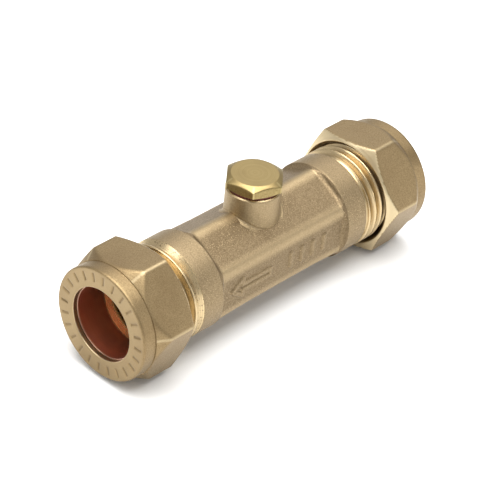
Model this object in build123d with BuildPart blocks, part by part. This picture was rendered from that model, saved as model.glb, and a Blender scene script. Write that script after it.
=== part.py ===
from build123d import *
import math
import os

# Double check valve for 15 mm copper pipe, with a compression joint at each end
# and a screwed test plug between its two spring-loaded check cartridges.
# Millimetres. Water flows along +X, the test plug points along +Z, and the
# origin is on the pipe axis at the shoulder that stops the inlet pipe.

# ---- driving dimensions -------------------------------------------------------
pipe_diameter = 15.0
socket_radius = pipe_diameter / 2 + 0.10
socket_depth = 12.0             # pipe shoulder to the end of the body
shoulder_to_middle = 21.5       # pipe shoulder to the middle of the body
middle_x = shoulder_to_middle
body_half_length = shoulder_to_middle + socket_depth

# Pipe thread of the body ends and nuts, G 1/2: 55 degree flanks.
pipe_pitch = 1.814
pipe_crest_radius = 20.955 / 2
pipe_root_radius = pipe_crest_radius - 1.162
pipe_flat = pipe_pitch / 6      # width of the thread's crest and of its root
pipe_flank = 27.5

# Thread of the test plug, M8 x 1: 60 degree flanks.
plug_pitch = 1.0
plug_crest_radius = 4.0
plug_root_radius = plug_crest_radius - 0.613
plug_flat = plug_pitch / 8
plug_flank = 30

thread_radial_gap = 0.12
thread_axial_gap = 0.08         # between flanks, on each side of the thread

# Outside of the body, as distances from its middle.
collar_radius = 10.4
collar_inner = 18.1
collar_edge = 23.4
hexagon_apothem = 9.0
hexagon_end_apothem = 9.15
hexagon_corner = 2.5
hexagon_end_corner = 1.5
hexagon_crown = 6.0             # corner radius under the test boss
hexagon_straight = 9.0          # half-length of the untapered stretch
mark_height = 0.35

# Test boss and plug.
port_x = middle_x + 0.5
boss_radius = 5.6
boss_top = 14.2
plug_head_bottom = 14.75
plug_head_top = 17.2
plug_head_apothem = 5.5
plug_corner_angle = 41
plug_tip = 9.9

# Compression nuts, measured from the middle of the body.
nut_face = 40.75
nut_length = 12.45
nut_apothem = 12.0
nut_collar_radius = 11.85
nut_collar_length = 2.95
nut_bore_radius = pipe_diameter / 2 + 0.15
nut_turn = {"outlet": -22.5, "inlet": 24}    # a corner's angle from straight up, in degrees
nut_tick_count = 24
nut_tick_radius = 10.0
nut_tick_depth = 0.12

# Olives.
olive_centre = 36.1
olive_half_width = 3.5
olive_bore_radius = pipe_diameter / 2 + 0.06
olive_crown_radius = 8.55

# Check cartridges.
cartridge_radius = 7.0
cartridge_length = 15.0
cartridge_shoulder = 4.0        # middle of the body to the cartridge's shoulder
cartridge_bore_radius = cartridge_radius + 0.05
seat_radius = 5.2
chamber_radius = 6.2
seat_start = 2.6
stem_radius = 1.2
spring_start = 5.35
spring_end = 12.0
spring_radius = 2.6
spring_wire_radius = 0.22
spring_coils = 5
ring_thickness = 0.95
ring_groove_radius = 7.5

os.makedirs("parts", exist_ok=True)


def save(block, name):
    """Label a finished piece and write it as one STEP file."""
    block.part.label = name
    export_step(block.part, f"parts/{name}.step")


def thread_ridge(pitch, base_radius, tip_radius, tip_width, flank, length):
    """Thread ridge: a V with a flat tip, carried along a right-handed helix on +Z."""
    base_width = tip_width + 2 * abs(base_radius - tip_radius) * math.tan(math.radians(flank))
    with BuildPart() as ridge:
        with BuildLine() as turns:
            Helix(pitch, length, base_radius)
        with BuildSketch(Plane.XZ):
            with BuildLine():
                Polyline(
                    (base_radius, -base_width / 2),
                    (base_radius, base_width / 2),
                    (tip_radius, tip_width / 2),
                    (tip_radius, -tip_width / 2),
                    close=True,
                )
            make_face()
        sweep(path=turns.line, is_frenet=True)
    return ridge.part


def inner_tip_width(pitch, crest_radius, flat, flank, tip_radius):
    """Width of an inner thread's tip that leaves the flank gap on both its sides."""
    outer_width = flat + 2 * (crest_radius - tip_radius) * math.tan(math.radians(flank))
    return pitch - outer_width - 2 * thread_axial_gap


def pipe_end(direction):
    """Planes of one pipe end: across the axis, and along it with the axis as x."""
    across = Plane(origin=(middle_x, 0, 0), x_dir=(0, 0, 1), z_dir=(direction, 0, 0))
    along = Plane(origin=(middle_x, 0, 0), x_dir=(direction, 0, 0), z_dir=(0, -direction, 0))
    return across, along


def rounded_hexagon(apothem, corner, crown):
    """Hexagon with upright side flats and well-rounded top and bottom corners."""
    outline = RegularPolygon(apothem, 6, major_radius=False, rotation=30)
    corners = outline.vertices().sort_by(Axis.Y)
    fillet([corners[0], corners[-1]], radius=crown)
    fillet(corners[1:-1], radius=corner)


ends = {"outlet": 1, "inlet": -1}

# ---- valve body -----------------------------------------------------------------
thread_embed = 0.08             # how far a ridge is rooted in its wall
thread_start = collar_edge + 0.75
outer_pipe_ridge = thread_ridge(
    pipe_pitch, pipe_root_radius - thread_embed, pipe_crest_radius, pipe_flat, pipe_flank,
    body_half_length - 0.9 - thread_start,
)
port_wall_radius = plug_crest_radius + thread_radial_gap
port_tip_radius = plug_root_radius + thread_radial_gap
port_thread_start = plug_tip - 0.2
inner_port_ridge = thread_ridge(
    plug_pitch, port_wall_radius + thread_embed, port_tip_radius,
    inner_tip_width(plug_pitch, plug_crest_radius, plug_flat, plug_flank, port_tip_radius),
    plug_flank, boss_top - 1.0 - port_thread_start,
)

with BuildPart() as valve_body:
    # Cast middle: a hexagonal barrel that swells a little towards its two collars.
    with BuildSketch(Plane.YZ.offset(middle_x - collar_inner)):
        rounded_hexagon(hexagon_end_apothem, hexagon_end_corner, hexagon_crown)
    with BuildSketch(Plane.YZ.offset(middle_x - hexagon_straight)):
        rounded_hexagon(hexagon_apothem, hexagon_corner, hexagon_crown)
    loft(ruled=True)
    with BuildSketch(Plane.YZ.offset(middle_x - hexagon_straight)):
        rounded_hexagon(hexagon_apothem, hexagon_corner, hexagon_crown)
    extrude(amount=hexagon_straight)
    mirror(about=Plane.YZ.offset(middle_x))

    # Round test boss on top of the barrel.
    with BuildSketch(Plane.XY):
        with Locations((port_x, 0)):
            Circle(boss_radius)
    extrude(amount=boss_top)

    # Turned ends: collar, undercut with its 45 degree shoulder, thread and lead-in.
    for direction in ends.values():
        across, along = pipe_end(direction)
        with BuildSketch(along):
            with BuildLine():
                Polyline(
                    (collar_inner - 0.5, 0),
                    (collar_inner - 0.5, hexagon_apothem - 1),
                    (collar_inner, hexagon_apothem - 0.5),
                    (collar_inner, collar_radius),
                    (collar_edge, collar_radius),
                    (collar_edge + collar_radius - pipe_root_radius, pipe_root_radius),
                    (body_half_length - 0.3, pipe_root_radius),
                    (body_half_length, pipe_root_radius - 0.25),
                    (body_half_length, 0),
                    close=True,
                )
            make_face()
        revolve(axis=Axis((middle_x, 0, 0), (1, 0, 0)))

    # Water way: socket, pipe shoulder, cartridge bore, ring grooves and centre chamber.
    for direction in ends.values():
        across, along = pipe_end(direction)
        ring_start = cartridge_shoulder + cartridge_length + 0.05
        with BuildSketch(along):
            with BuildLine():
                Polyline(
                    (0, 0),
                    (0, seat_radius + 0.9),
                    (cartridge_shoulder, seat_radius + 0.9),
                    (cartridge_shoulder, cartridge_bore_radius),
                    (ring_start, cartridge_bore_radius),
                    (ring_start, ring_groove_radius),
                    (ring_start + ring_thickness + 0.1, ring_groove_radius),
                    (ring_start + ring_thickness + 0.1, cartridge_bore_radius),
                    (shoulder_to_middle, cartridge_bore_radius),
                    (shoulder_to_middle, socket_radius),
                    (body_half_length - 2.8, socket_radius),
                    (body_half_length, olive_crown_radius + 0.2),
                    (body_half_length, 0),
                    close=True,
                )
            make_face()
        revolve(axis=Axis((middle_x, 0, 0), (1, 0, 0)), mode=Mode.SUBTRACT)

    # Tapped test port, drilled through to the centre chamber.
    with Locations(Location((port_x, 0, boss_top))):
        CounterSinkHole(port_wall_radius, port_wall_radius + 0.4, boss_top - plug_tip + 0.9, 90)
        Hole(2.0, boss_top)
    with Locations(Location((port_x, 0, port_thread_start))):
        add(inner_port_ridge)

    # Pipe threads.
    for direction in ends.values():
        across, along = pipe_end(direction)
        with Locations(across.offset(thread_start)):
            add(outer_pipe_ridge)

    # Raised flow arrow and size bars on the side flat.
    side_flat = Plane(
        origin=(middle_x, hexagon_apothem - 0.2, 0), x_dir=(-1, 0, 0), z_dir=(0, 1, 0)
    )
    with BuildSketch(side_flat) as marks:
        with BuildLine():
            Polyline(
                (-15.5, 0.0), (-11.0, 3.0), (-11.0, 1.1), (-3.2, 1.1),
                (-3.2, -1.1), (-11.0, -1.1), (-11.0, -3.0), close=True,
            )
        make_face()
        with BuildLine():
            Polyline(
                (-13.4, 0.0), (-12.0, 1.0), (-12.0, 0.3), (-4.1, 0.3),
                (-4.1, -0.3), (-12.0, -0.3), (-12.0, -1.0), close=True,
            )
        make_face(mode=Mode.SUBTRACT)
        with Locations((2.4, 0), (5.6, 0), (8.8, 0), (12.0, 0)):
            SlotCenterToCenter(3.0, 1.1, rotation=90)
    extrude(amount=mark_height + 0.2)
save(valve_body, "valve_body")

# ---- compression nuts and olives -----------------------------------------------
nut_mouth = nut_face - nut_length
nut_thread_radius = pipe_crest_radius + thread_radial_gap
nut_tip_radius = pipe_root_radius + thread_radial_gap
nut_relief_start = body_half_length + 1.2
nut_cone_start = olive_centre + 1.6
nut_thread_start = thread_start + 3.5 * pipe_pitch
inner_pipe_ridge = thread_ridge(
    pipe_pitch, nut_thread_radius + thread_embed, nut_tip_radius,
    inner_tip_width(pipe_pitch, pipe_crest_radius, pipe_flat, pipe_flank, nut_tip_radius),
    pipe_flank, nut_relief_start - 0.6 - nut_thread_start,
)

for side, direction in ends.items():
    across, along = pipe_end(direction)
    axis = Axis((middle_x, 0, 0), (direction, 0, 0))

    with BuildPart() as nut:
        # Hexagon, with its corners turned down to the collar at the front.
        with BuildSketch(across.offset(nut_mouth)):
            RegularPolygon(nut_apothem, 6, major_radius=False, rotation=nut_turn[side])
        extrude(amount=nut_length)
        with BuildSketch(along):
            with BuildLine():
                Polyline(
                    (nut_mouth, 0),
                    (nut_mouth, nut_apothem + 0.45),
                    (nut_mouth + 0.8, nut_apothem + 1.9),
                    (nut_face - nut_collar_length - 2.65, nut_apothem + 1.9),
                    (nut_face - nut_collar_length, nut_apothem + 0.02),
                    (nut_face - nut_collar_length, nut_collar_radius),
                    (nut_face - 0.5, nut_collar_radius),
                    (nut_face, nut_collar_radius - 0.5),
                    (nut_face, 0),
                    close=True,
                )
            make_face()
        revolve(axis=axis, mode=Mode.INTERSECT)
        # Bore: mouth chamfer, thread, run-out, cone that squeezes the olive, pipe hole.
        with BuildSketch(along):
            with BuildLine():
                Polyline(
                    (nut_mouth, 0),
                    (nut_mouth, nut_thread_radius + 0.75),
                    (nut_mouth + 0.75, nut_thread_radius),
                    (nut_relief_start + 0.4, nut_thread_radius),
                    (nut_relief_start + 0.4, olive_crown_radius + 0.9),
                    (nut_cone_start, olive_crown_radius + 0.2),
                    (olive_centre + olive_half_width + 0.1, olive_bore_radius + 0.5),
                    (olive_centre + olive_half_width + 0.1, nut_bore_radius),
                    (nut_face - 0.4, nut_bore_radius),
                    (nut_face, nut_bore_radius + 0.4),
                    (nut_face, 0),
                    close=True,
                )
            make_face()
        revolve(axis=axis, mode=Mode.SUBTRACT)
        # Ring of stamped ticks on the face.
        with BuildSketch(across.offset(nut_face)):
            with PolarLocations(nut_tick_radius, nut_tick_count):
                Rectangle(1.1, 0.35)
        extrude(amount=-nut_tick_depth, mode=Mode.SUBTRACT)
        with Locations(across.offset(nut_thread_start)):
            add(inner_pipe_ridge)
    save(nut, f"{side}_nut")

    with BuildPart() as olive:
        with BuildSketch(along):
            with BuildLine():
                olive_start = olive_centre - olive_half_width
                olive_stop = olive_centre + olive_half_width
                Polyline(
                    (olive_centre - 1.3, olive_crown_radius),
                    (olive_start, olive_bore_radius + 0.3),
                    (olive_start, olive_bore_radius),
                    (olive_stop, olive_bore_radius),
                    (olive_stop, olive_bore_radius + 0.3),
                    (olive_centre + 1.3, olive_crown_radius),
                )
                ThreePointArc(
                    (olive_centre + 1.3, olive_crown_radius),
                    (olive_centre, olive_crown_radius + 0.1),
                    (olive_centre - 1.3, olive_crown_radius),
                )
            make_face()
        revolve(axis=axis)
    save(olive, f"{side}_olive")

# ---- test plug and its sealing washer --------------------------------------------
plug_profile_plane = Plane(origin=(port_x, 0, 0), x_dir=(1, 0, 0), z_dir=(0, -1, 0))
plug_axis = Axis((port_x, 0, 0), (0, 0, 1))
plug_thread_start = port_thread_start + 0.5 * plug_pitch + plug_pitch
outer_plug_ridge = thread_ridge(
    plug_pitch, plug_root_radius - thread_embed, plug_crest_radius, plug_flat, plug_flank,
    plug_head_bottom - 1.0 - plug_thread_start,
)

with BuildPart() as test_plug:
    with BuildSketch(Plane.XY.offset(plug_tip)):
        with Locations((port_x, 0)):
            RegularPolygon(plug_head_apothem, 6, major_radius=False, rotation=plug_corner_angle)
    extrude(amount=plug_head_top - plug_tip)
    with BuildSketch(plug_profile_plane):
        with BuildLine():
            Polyline(
                (0, plug_tip),
                (plug_root_radius - 0.4, plug_tip),
                (plug_root_radius, plug_tip + 0.4),
                (plug_root_radius, plug_head_bottom),
                (plug_head_apothem - 0.1, plug_head_bottom),
                (plug_head_apothem + 0.9, plug_head_bottom + 0.35),
                (plug_head_apothem + 0.9, plug_head_top - 0.9),
                (plug_head_apothem - 0.75, plug_head_top),
                (0, plug_head_top),
                close=True,
            )
        make_face()
    revolve(axis=plug_axis, mode=Mode.INTERSECT)
    with Locations(Location((port_x, 0, plug_thread_start))):
        add(outer_plug_ridge)
save(test_plug, "test_plug")

with BuildPart() as test_plug_seal:
    with BuildSketch(Plane.XY.offset(boss_top)):
        with Locations((port_x, 0)):
            Circle(plug_head_apothem - 0.3)
            Circle(plug_root_radius + 0.15, mode=Mode.SUBTRACT)
    extrude(amount=plug_head_bottom - boss_top - 0.03)
save(test_plug_seal, "test_plug_seal")

# ---- check cartridges --------------------------------------------------------------
cartridges = {
    "upstream": middle_x - cartridge_shoulder - cartridge_length,
    "downstream": middle_x + cartridge_shoulder,
}
groove_start = 1.0              # O-ring groove on the housing
groove_width = 1.5
groove_floor = 6.2
seal_start = seat_start + 0.75
guide_start = 10.6              # hub of the stem guide
guide_rim_start = 12.2
guide_rim_end = 14.6
guide_hub_radius = 2.05
spoke_count = 3
spoke_width = 1.1

for stage, start_x in cartridges.items():
    profile_plane = Plane(origin=(start_x, 0, 0), x_dir=(1, 0, 0), z_dir=(0, -1, 0))
    section_plane = Plane.YZ.offset(start_x)

    with BuildPart() as housing:
        with BuildSketch(profile_plane):
            with BuildLine():
                Polyline(
                    (0.4, cartridge_radius),
                    (groove_start, cartridge_radius),
                    (groove_start, groove_floor),
                    (groove_start + groove_width, groove_floor),
                    (groove_start + groove_width, cartridge_radius),
                    (cartridge_length, cartridge_radius),
                    (cartridge_length, chamber_radius + 0.3),
                    (cartridge_length - 0.3, chamber_radius),
                    (seat_start + chamber_radius - seat_radius, chamber_radius),
                    (seat_start, seat_radius),
                    (0.3, seat_radius),
                    (0, seat_radius + 0.3),
                    (0, cartridge_radius - 0.4),
                    close=True,
                )
            make_face()
        revolve(axis=Axis.X)
    save(housing, f"{stage}_housing")

    with BuildPart() as housing_seal:
        with BuildSketch(profile_plane):
            with Locations(((groove_start + groove_width / 2), groove_floor + 0.425)):
                RectangleRounded(1.2, 0.81, 0.38)
        revolve(axis=Axis.X)
    save(housing_seal, f"{stage}_housing_seal")

    with BuildPart() as poppet:
        with BuildSketch(profile_plane):
            with BuildLine():
                Polyline(
                    (seat_start - 0.6, 0),
                    (seat_start - 0.4, 1.4),
                    (seal_start, seat_radius - 0.5),
                    (seal_start, seat_radius - 0.9),
                    (seal_start + 0.95, seat_radius - 0.9),
                    (seal_start + 0.95, seat_radius),
                    (seal_start + 1.5, seat_radius),
                    (seal_start + 2.0, seat_radius - 0.6),
                    (seal_start + 2.0, guide_hub_radius),
                    (spring_start + 0.5, guide_hub_radius),
                    (spring_start + 0.8, stem_radius),
                    (guide_start + 1.5, stem_radius),
                    (guide_start + 1.8, stem_radius - 0.3),
                    (guide_start + 1.8, 0),
                    close=True,
                )
            make_face()
        revolve(axis=Axis.X)
    save(poppet, f"{stage}_poppet")

    with BuildPart() as poppet_seal:
        with BuildSketch(profile_plane):
            with BuildLine():
                Polyline(
                    (seal_start + 0.02, seat_radius - 0.88),
                    (seal_start + 0.02, seat_radius + 0.35),
                    (seal_start + 0.3, seat_radius + 0.5),
                    (seal_start + 0.7, seat_radius + 0.5),
                    (seal_start + 0.93, seat_radius + 0.3),
                    (seal_start + 0.93, seat_radius - 0.88),
                    close=True,
                )
            make_face()
        revolve(axis=Axis.X)
    save(poppet_seal, f"{stage}_poppet_seal")

    with BuildPart() as spring:
        with BuildLine() as coil:
            Helix(
                (spring_end - spring_start - 2 * spring_wire_radius) / spring_coils,
                spring_end - spring_start - 2 * spring_wire_radius,
                spring_radius,
                center=(start_x + spring_start + spring_wire_radius, 0, 0),
                direction=(1, 0, 0),
            )
        with BuildSketch(Plane(origin=coil.line @ 0, z_dir=coil.line % 0)):
            Circle(spring_wire_radius)
        sweep(path=coil.line, is_frenet=True)
    save(spring, f"{stage}_spring")

    with BuildPart() as stem_guide:
        with BuildSketch(section_plane.offset(guide_rim_start)):
            Circle(chamber_radius - 0.02)
            Circle(chamber_radius - 0.75, mode=Mode.SUBTRACT)
        extrude(amount=guide_rim_end - guide_rim_start)
        with BuildSketch(section_plane.offset(guide_rim_start)):
            for spoke in range(spoke_count):
                with Locations(Location((0, 0, 0), (0, 0, spoke * 360 / spoke_count))):
                    Rectangle(chamber_radius - 0.4, spoke_width, align=(Align.MIN, Align.CENTER))
        extrude(amount=1.6)
        with BuildSketch(section_plane.offset(guide_rim_start)):
            Circle(spring_radius + 0.5)
        extrude(amount=1.2)
        with BuildSketch(section_plane.offset(guide_start)):
            Circle(guide_hub_radius)
        extrude(amount=guide_rim_end - guide_start)
        with BuildSketch(section_plane.offset(guide_start)):
            Circle(stem_radius + 0.05)
        extrude(amount=cartridge_length, mode=Mode.SUBTRACT)
    save(stem_guide, f"{stage}_stem_guide")

# ---- retaining rings ----------------------------------------------------------------
ring_gap = 50                   # degrees between the two lugs, at the bottom
ring_inner_radius = 6.35
lug_radius = 1.45
lug_hole_radius = 0.6

for side, direction in ends.items():
    across, along = pipe_end(direction)
    lug_centre = ring_groove_radius - 0.35 - lug_radius
    with BuildPart() as retaining_ring:
        with BuildSketch(across.offset(cartridge_shoulder + cartridge_length + 0.1)):
            Circle(ring_groove_radius - 0.05)
            Circle(ring_inner_radius, mode=Mode.SUBTRACT)
            with BuildLine():
                gap_reach = 2 * ring_groove_radius
                half_gap = math.radians(ring_gap / 2)
                Polyline(
                    (0, 0),
                    (-gap_reach * math.cos(half_gap), gap_reach * math.sin(half_gap)),
                    (-gap_reach * math.cos(half_gap), -gap_reach * math.sin(half_gap)),
                    close=True,
                )
            make_face(mode=Mode.SUBTRACT)
            with PolarLocations(lug_centre, 2, start_angle=180 - ring_gap / 2 - 6,
                                angular_range=ring_gap + 12, endpoint=True):
                Circle(lug_radius)
                Circle(lug_hole_radius, mode=Mode.SUBTRACT)
        extrude(amount=ring_thickness)
    save(retaining_ring, f"{side}_retaining_ring")
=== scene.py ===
import math

import bmesh
import bpy
import numpy as np
from mathutils import Matrix, Vector


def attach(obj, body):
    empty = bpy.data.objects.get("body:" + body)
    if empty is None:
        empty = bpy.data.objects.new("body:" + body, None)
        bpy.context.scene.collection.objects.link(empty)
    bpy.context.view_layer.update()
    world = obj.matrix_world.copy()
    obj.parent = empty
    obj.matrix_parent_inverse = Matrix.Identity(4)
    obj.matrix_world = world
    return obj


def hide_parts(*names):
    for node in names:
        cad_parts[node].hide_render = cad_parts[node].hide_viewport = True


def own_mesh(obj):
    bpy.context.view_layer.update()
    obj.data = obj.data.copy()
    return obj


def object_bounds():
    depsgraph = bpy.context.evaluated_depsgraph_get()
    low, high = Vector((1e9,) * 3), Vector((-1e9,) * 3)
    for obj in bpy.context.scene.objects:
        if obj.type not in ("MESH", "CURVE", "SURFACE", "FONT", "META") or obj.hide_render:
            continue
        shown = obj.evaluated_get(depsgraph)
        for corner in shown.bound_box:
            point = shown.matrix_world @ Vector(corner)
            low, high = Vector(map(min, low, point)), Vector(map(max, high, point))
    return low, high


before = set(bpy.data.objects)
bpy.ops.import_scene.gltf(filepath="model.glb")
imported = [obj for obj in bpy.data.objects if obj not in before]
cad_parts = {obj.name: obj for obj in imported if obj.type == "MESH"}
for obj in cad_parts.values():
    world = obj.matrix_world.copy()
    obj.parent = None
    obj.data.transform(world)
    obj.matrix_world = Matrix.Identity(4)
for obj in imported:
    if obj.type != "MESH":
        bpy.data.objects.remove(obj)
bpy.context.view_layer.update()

# ---- cast barrel ---------------------------------------------------------------------
# The middle of a double check valve: hot-stamped brass, a hexagon with well-rounded
# corners that swells a little towards its collars. It is shot-blasted after stamping,
# and carries a raised flow arrow and four raised bars on its side flat.
MM = 0.001                          # one millimetre, in metres
middle = 21.5                       # from the inlet pipe's shoulder, all sizes in mm
port_x = middle + 0.5
collar_inner = 18.1
barrel_straight = 9.0
barrel_apothem, barrel_end_apothem = 9.0, 9.15
cartridge_bore = 7.05
chamber_bore = 6.1
chamber_half_length = 4.0
collar_radius = 10.4
overlap = 0.3                       # how far the barrel runs on into each collar


def rounded_profile(corners):
    """Closed profile through corners of (along, out, rounding), or with the spacing as a fourth.

    Each corner is replaced by a parabola between the two points that lie one rounding
    away from it, and the straight run after it is divided evenly, to at most the spacing.
    """
    usual_spacing = 0.3
    table = np.array([(*c, usual_spacing)[:4] for c in corners], float)
    here, rounding = table[:, :2], table[:, 2:3]
    back = np.roll(here, 1, 0) - here
    ahead = np.roll(here, -1, 0) - here
    start = here + back / np.linalg.norm(back, axis=1, keepdims=True) * rounding
    stop = here + ahead / np.linalg.norm(ahead, axis=1, keepdims=True) * rounding
    t = np.linspace(0, 1, 5)[None, :, None]
    arcs = (1 - t) ** 2 * start[:, None] + 2 * t * (1 - t) * here[:, None] + t ** 2 * stop[:, None]
    pieces = []
    for arc, goal, spacing in zip(arcs, np.roll(start, -1, 0), table[:, 3]):
        run = goal - arc[-1]
        count = max(1, math.ceil(np.linalg.norm(run) / spacing))
        pieces += [arc, arc[-1] + run * np.linspace(0, 1, count + 1)[1:-1, None]]
    return np.vstack(pieces)


def skin(name, points, closed_along=True, **attributes):
    """Object skinned over a grid of points in mm, with a face between each four neighbours.

    Columns run round the piece and join up. Rows run along the profile and join up too,
    unless closed_along is off, where the first and last rows each shrink to one point.
    Coinciding points are merged, and the faces of the closed shell are turned outwards.
    """
    rows, columns = points.shape[:2]
    index = np.arange(rows * columns).reshape(rows, columns)
    index = np.vstack([index, index[:1]]) if closed_along else index
    index = np.hstack([index, index[:, :1]])
    quads = np.stack(
        [index[:-1, :-1], index[:-1, 1:], index[1:, 1:], index[1:, :-1]], axis=-1
    ).reshape(-1, 4)
    mesh = bpy.data.meshes.new(name)
    mesh.vertices.add(rows * columns)
    mesh.vertices.foreach_set("co", (points * MM).astype(np.float32).ravel())
    mesh.loops.add(quads.size)
    mesh.loops.foreach_set("vertex_index", quads.ravel().astype(np.int32))
    mesh.polygons.add(len(quads))
    mesh.polygons.foreach_set("loop_start", np.arange(0, quads.size, 4, dtype=np.int32))
    mesh.update(calc_edges=True)
    for key, values in attributes.items():
        layer = mesh.attributes.new(key, "FLOAT", "POINT")
        spread = np.broadcast_to(values, (rows, columns)).astype(np.float32)
        layer.data.foreach_set("value", spread.ravel())
    merge_distance = 0.002 * MM
    shell = bmesh.new()
    shell.from_mesh(mesh)
    bmesh.ops.remove_doubles(shell, verts=shell.verts, dist=merge_distance)
    bmesh.ops.dissolve_degenerate(shell, edges=shell.edges, dist=merge_distance)
    bmesh.ops.recalc_face_normals(shell, faces=shell.faces)
    shell.to_mesh(mesh)
    shell.free()
    mesh.polygons.foreach_set("use_smooth", np.ones(len(mesh.polygons), bool))
    piece = bpy.data.objects.new(name, mesh)
    bpy.context.scene.collection.objects.link(piece)
    return piece


def about_pipe(profile, angles, direction=1, reach=None):
    """Points of a profile of (distance from the middle, radius) carried round the pipe axis.

    Angles start at the top and turn right-handed about the way that the pipe end faces.
    """
    reach = profile[:, 1:2] + 0 * angles if reach is None else reach
    along = middle + direction * (profile[:, :1] + 0 * angles)
    return np.stack([along, -direction * reach * np.sin(angles), reach * np.cos(angles)], axis=-1)


def hexagon_reach(angles, apothem, sharpness, corner_angle):
    """Distance to a hexagon's outline: the p-norm of its six flats, so corners are rounded."""
    flats = corner_angle + math.radians(30) + np.arange(6) * math.radians(60)
    facing = np.clip(np.cos(angles[..., None] - flats), 0.01, None)
    return apothem * np.sum(facing ** sharpness, axis=-1) ** (-1 / sharpness)


def softer_of(one, other, sharpness):
    """The smaller of two radii, with the edge where they cross rounded over."""
    scale = np.minimum(one, other)
    return scale * ((one / scale) ** -sharpness + (other / scale) ** -sharpness) ** (-1 / sharpness)


def stroke_height(sideways, upright, path, half_width, soften):
    """One on a stroke drawn through the path's points, falling smoothly to zero at its edge."""
    place = np.stack([sideways, upright], axis=-1)
    distance = np.full(sideways.shape, 99.0)
    for start, stop in zip(path[:-1], path[1:]):
        start, run = np.array(start), np.array(stop) - np.array(start)
        share = np.clip((place - start) @ run / (run @ run), 0, 1)
        distance = np.minimum(distance, np.linalg.norm(place - start - share[..., None] * run, axis=-1))
    height = np.clip((half_width + soften - distance) / soften, 0, 1)
    return height * height * (3 - 2 * height)


# The angles crowd together over the side flat, where the marks need a finer grid.
marked_half_width = 3.4
mark_spacing = 0.14
plain_columns = 232
across_marks = np.arange(-marked_half_width, marked_half_width + 0.01, mark_spacing)
mark_angles = np.arctan2(across_marks, barrel_apothem) - math.radians(90)
edge_angle = abs(mark_angles[-1] - mark_angles[0]) / 2
plain_angles = np.linspace(edge_angle, 2 * math.pi - edge_angle, plain_columns)[1:-1] - math.radians(90)
barrel_angles = np.concatenate([mark_angles, plain_angles])

station_spacing = 0.15
outer_end = collar_inner + overlap
outer_stations = np.arange(-outer_end, outer_end + 0.01, station_spacing)
swell = np.clip((abs(outer_stations) - barrel_straight) / (collar_inner - barrel_straight), 0, 1)
apothems = barrel_apothem + (barrel_end_apothem - barrel_apothem) * swell
middle_sharpness, end_sharpness = 17, 20
round_corners = hexagon_reach(barrel_angles, 1.0, middle_sharpness, 0.0)
crisp_corners = hexagon_reach(barrel_angles, 1.0, end_sharpness, 0.0)
outline = round_corners + (crisp_corners - round_corners) * swell[:, None]
outer_reach = apothems[:, None] * outline
to_collar = collar_inner - abs(outer_stations)
fillet_radius = 1.3
fillet_share = 0.85
into_fillet = np.clip(fillet_radius - np.clip(to_collar, 0, None), 0, fillet_radius)
fillet = fillet_radius - np.sqrt(fillet_radius ** 2 - into_fillet ** 2)
outer_reach = np.minimum(outer_reach + fillet_share * fillet[:, None], collar_radius - 0.04)

# Painted highlight: the hexagon's rounded corners, where it reaches furthest out, are painted
# brighter for the band of light along the ridge, as well as for the burnish of tumbling and handling.
ridge_highlight_strength = 0.48
ridge_highlight = ridge_highlight_strength * np.clip((outline - 1.055) / 0.045, 0, 1) * (to_collar[:, None] > 0.8)

# Raised marks on the +Y flat, pressed in one with the barrel: an arrow in the flow's
# direction, and four bars. Places are from the barrel's middle, across and up.
mark_height = 0.30
mark_softness = 0.24
arrow_half_width, bar_half_width = 0.36, 0.42
bar_half_length = 1.5
arrow_path = [
    (14.4, 0.0), (11.5, 2.0), (11.5, 0.7), (3.65, 0.7),
    (3.65, -0.7), (11.5, -0.7), (11.5, -2.0), (14.4, 0.0),
]
bar_places = (-2.4, -5.6, -8.8, -12.0)
sideways = outer_stations[:, None] + 0 * barrel_angles
upright = outer_reach * np.cos(barrel_angles)
on_marked_side = np.sin(barrel_angles) < -0.5
marks = stroke_height(sideways, upright, arrow_path, arrow_half_width, mark_softness)
for place in bar_places:
    bar_path = [(place, -bar_half_length), (place, bar_half_length)]
    bar = stroke_height(sideways, upright, bar_path, bar_half_width, mark_softness)
    marks = np.maximum(marks, bar)
marks = marks * on_marked_side
outer_reach = outer_reach + mark_height * marks / np.clip(-np.sin(barrel_angles), 0.5, 1)

# Under the boss the barrel is cleared away for the tapped port and its drilled hole. Each
# is a radius about the port, and the height that the barrel stays under there.
hole_clearance, hole_ceiling = 2.3, 6.6
port_clearance, port_ceiling = 4.8, 8.7
no_ceiling = 99.0
from_port = np.hypot(middle + sideways - port_x, outer_reach * np.sin(barrel_angles))
ceiling = np.where(from_port < port_clearance, port_ceiling, no_ceiling)
ceiling = np.where(from_port < hole_clearance, hole_ceiling, ceiling)
above = np.cos(barrel_angles) > 0.3
reach_to_ceiling = ceiling / np.where(above, np.cos(barrel_angles), 1)
outer_reach = np.where(above, np.minimum(outer_reach, reach_to_ceiling), outer_reach)

step_length = 0.05
inner_profile = np.array([
    (outer_end, cartridge_bore), (chamber_half_length, cartridge_bore),
    (chamber_half_length - step_length, chamber_bore),
    (-chamber_half_length + step_length, chamber_bore),
    (-chamber_half_length, cartridge_bore), (-outer_end, cartridge_bore),
])
inner_reach = inner_profile[:, 1:] + 0 * barrel_angles
barrel_reach = np.vstack([outer_reach, inner_reach])
barrel_profile = np.column_stack([
    np.concatenate([outer_stations, inner_profile[:, 0]]), barrel_reach[:, 0],
])
# Painted shadow: a soft dark line in the crease where the barrel steps up to each collar.
collar_shadow = 0.32 * np.exp(-(to_collar[:, None] / 0.35) ** 2)
barrel = skin(
    "cast_barrel",
    about_pipe(barrel_profile, barrel_angles, reach=barrel_reach),
    recess=np.vstack([collar_shadow - 0.12 * marks - ridge_highlight, 0 * inner_reach]),
    machined=np.vstack([0 * outer_reach, 0 * inner_reach + 1]),
)


def linear(code):
    """Linear colour from an sRGB hex value: the standard sRGB curve, channel by channel."""
    encoded = np.array([int(code[i:i + 2], 16) / 255 for i in (1, 3, 5)])
    channels = np.where(encoded <= 0.04045, encoded / 12.92, ((encoded + 0.055) / 1.055) ** 2.4)
    return (*channels.tolist(), 1.0)


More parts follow.
